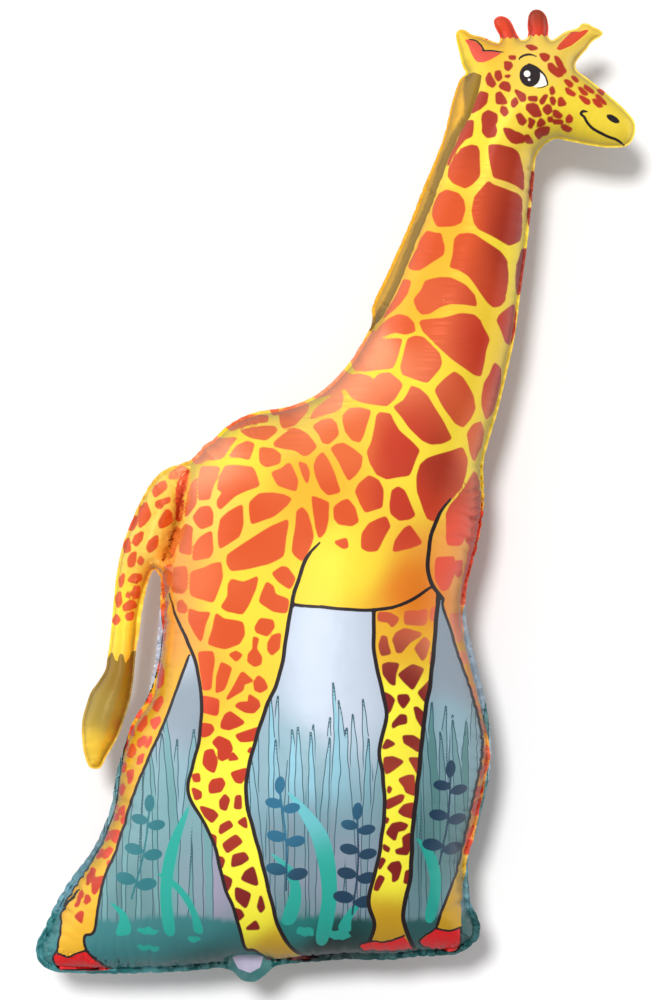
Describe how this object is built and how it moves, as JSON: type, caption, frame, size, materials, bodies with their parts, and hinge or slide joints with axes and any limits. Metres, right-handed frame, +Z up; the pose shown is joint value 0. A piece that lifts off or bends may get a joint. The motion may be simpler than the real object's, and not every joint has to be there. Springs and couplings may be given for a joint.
{
  "type": "giraffe foil balloon",
  "caption": "Inflated foil figure balloon in the outline of a standing giraffe, with puffed neck, head, tail and body, welded rim and filling tab, lying on its back.",
  "frame": {"origin": "under the middle of the outline's bounding box, on the surface that the balloon lies on", "axes": "+Y from the hooves to the horns, along the balloon's height; +X from the tail to the snout; +Z up, out of the front foil"},
  "size_m": [0.598, 0.9694, 0.2342],
  "materials": {
    "printed_foil": "metallised polymer film with a glossy print: orange patches and yellow lines, silver and teal between the legs"
  },
  "bodies": {
    "root": {"balloon": "printed_foil"}
  },
  "joints": []
}
